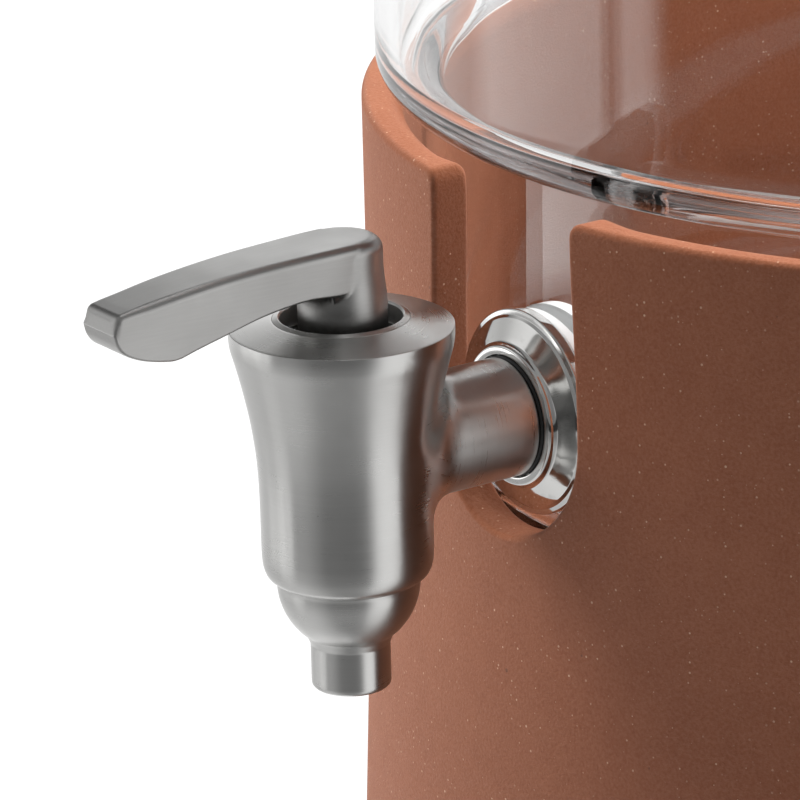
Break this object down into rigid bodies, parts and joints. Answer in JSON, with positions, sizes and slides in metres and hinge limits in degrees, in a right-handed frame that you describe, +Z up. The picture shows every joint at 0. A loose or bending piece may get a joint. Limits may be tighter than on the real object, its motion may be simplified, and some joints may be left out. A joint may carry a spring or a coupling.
{
  "type": "drink dispenser jar with tap",
  "caption": "Glass jar standing in a slotted terracotta stand, with a brushed steel lever tap through the slot and a loose terracotta lid with a steel knob",
  "frame": {"origin": "Middle of the outline's box, from the tip of the lever to the back of the stand's foot, on the ground. The jar's axis is 32.8 mm behind it, at +Y.", "axes": "+Z up along the jar's axis. The tap and the stand's slot face -Y. +X is to the right of someone who faces the tap."},
  "size_m": [0.2428, 0.3084, 0.3876],
  "materials": {
    "terracotta": "unglazed terracotta, sandy, with pale specks",
    "glass": "clear blown glass",
    "brushed_steel": "brushed stainless steel",
    "polished_steel": "polished steel",
    "inner_steel": "plain turned steel",
    "rubber": "black rubber",
    "silicone": "white silicone"
  },
  "bodies": {
    "stand": {"terracotta_stand": "terracotta", "jar_rest_ring": "silicone"},
    "jar": {"glass_jar": "glass", "tap_body": "brushed_steel", "lever_collar": "brushed_steel", "valve_cartridge": "inner_steel", "cartridge_ring": "rubber", "stem_ring": "rubber", "lever_pin": "inner_steel", "valve_spring": "inner_steel", "outlet_cap": "brushed_steel", "outlet_ring": "rubber", "threaded_shank": "inner_steel", "flange": "polished_steel", "shank_ring": "rubber", "outer_gasket": "silicone", "inner_gasket": "silicone", "shank_washer": "inner_steel", "lock_nut": "inner_steel"},
    "lever": {"lever": "brushed_steel", "link_pin": "inner_steel"},
    "valve": {"valve_stem": "inner_steel", "seat_plug": "silicone"},
    "lid": {"lid": "terracotta", "lid_seal": "silicone", "lid_knob": "brushed_steel", "knob_screw": "inner_steel"}
  },
  "joints": [
    {"name": "jar_lift", "type": "slide", "parent": "stand", "child": "jar", "axis": [0, 0, 1], "range_m": [0, 0.1]},
    {"name": "lid_lift", "type": "slide", "parent": "jar", "child": "lid", "axis": [0, 0, 1], "range_m": [0, 0.04]},
    {"name": "lever_press", "type": "hinge", "parent": "jar", "child": "lever", "pos_m": [0, -0.1151, 0.1846], "axis": [1, 0, 0], "range_deg": [0, 16], "stiffness_Nm_per_rad": 0.03, "springref_deg": -40.11},
    {"name": "valve_lift", "type": "slide", "parent": "jar", "child": "valve", "axis": [0, 0, 1], "range_m": [0, 0.0012], "deforming": ["valve_spring"]}
  ],
  "couplings": [
    {"joint": "valve_lift", "follows": "lever_press", "m_per_rad": 0.004}
  ]
}
